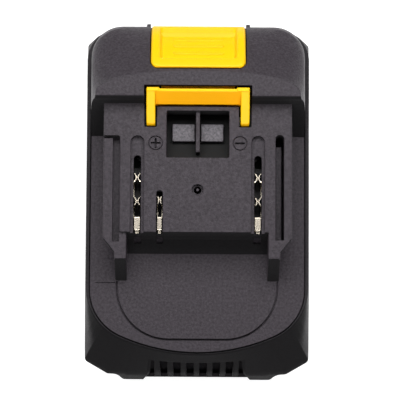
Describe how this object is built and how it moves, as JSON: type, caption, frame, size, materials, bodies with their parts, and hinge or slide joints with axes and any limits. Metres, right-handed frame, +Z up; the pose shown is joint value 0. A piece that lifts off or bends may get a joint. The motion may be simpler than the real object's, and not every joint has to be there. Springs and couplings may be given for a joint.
{
  "type": "power tool battery pack",
  "caption": "Slide-on cordless tool battery pack with side rails, slotted contact deck, sprung latch with thumb button, and a cell core in a two-part case.",
  "frame": {"origin": "middle of the flat base, on the surface it stands on", "axes": "+X to the pack's right seen from above with the latch end away, +Y towards the latch end, +Z up out of the contact deck"},
  "size_m": [0.075, 0.115, 0.0644],
  "materials": {
    "lower_case": "finely grained black nylon",
    "upper_case": "finely grained charcoal nylon",
    "latch": "smooth satin yellow",
    "spring_steel": "drawn wire",
    "holder_plastic": "moulded black",
    "ring_paper": "die-cut insulating paper",
    "nickel": "rolled nickel",
    "sheet_paper": "fibre sheet",
    "board": "green board",
    "chip_plastic": "moulded black resin",
    "capacitor_can": "drawn can",
    "fuse_ceramic": "white ceramic",
    "contact_metal": "plated spring contact",
    "pale_plastic": "pale moulding",
    "port_plastic": "light grey moulding",
    "foam": "closed-cell foam",
    "screw_steel": "blackened steel",
    "cell_sleeve": "shrink sleeve"
  },
  "bodies": {
    "pack": {"lower_case": "lower_case", "upper_case": "upper_case", "latch_spring_left": "spring_steel", "latch_spring_right": "spring_steel", "cell_holder_left": "holder_plastic", "cell_holder_right": "holder_plastic", "cell_rings": "ring_paper", "nickel_strips_left": "nickel", "nickel_strips_right": "nickel", "strip_sheet_left": "sheet_paper", "strip_sheet_right": "sheet_paper", "lead_positive": "nickel", "lead_negative": "nickel", "circuit_board": "board", "control_chip": "chip_plastic", "power_transistors": "chip_plastic", "capacitors": "capacitor_can", "fuse": "fuse_ceramic", "contact_positive": "contact_metal", "contact_negative": "contact_metal", "contact_signal": "contact_metal", "contact_block": "pale_plastic", "port_blocks": "port_plastic", "barrier_sheet": "sheet_paper", "foam_pads": "foam", "board_screws": "screw_steel", "case_screws": "screw_steel", "cell_1": "cell_sleeve", "cell_2": "cell_sleeve", "cell_3": "cell_sleeve", "cell_4": "cell_sleeve", "cell_5": "cell_sleeve", "cell_6": "cell_sleeve", "cell_7": "cell_sleeve", "cell_8": "cell_sleeve", "cell_9": "cell_sleeve", "cell_10": "cell_sleeve"},
    "latch": {"latch": "latch"}
  },
  "joints": [
    {"name": "latch_slide", "type": "slide", "parent": "pack", "child": "latch", "axis": [0, 0, -1], "range_m": [0, 0.006], "stiffness_N_per_m": 900, "springref_m": -0.004, "deforming": ["latch_spring_left", "latch_spring_right"]}
  ]
}
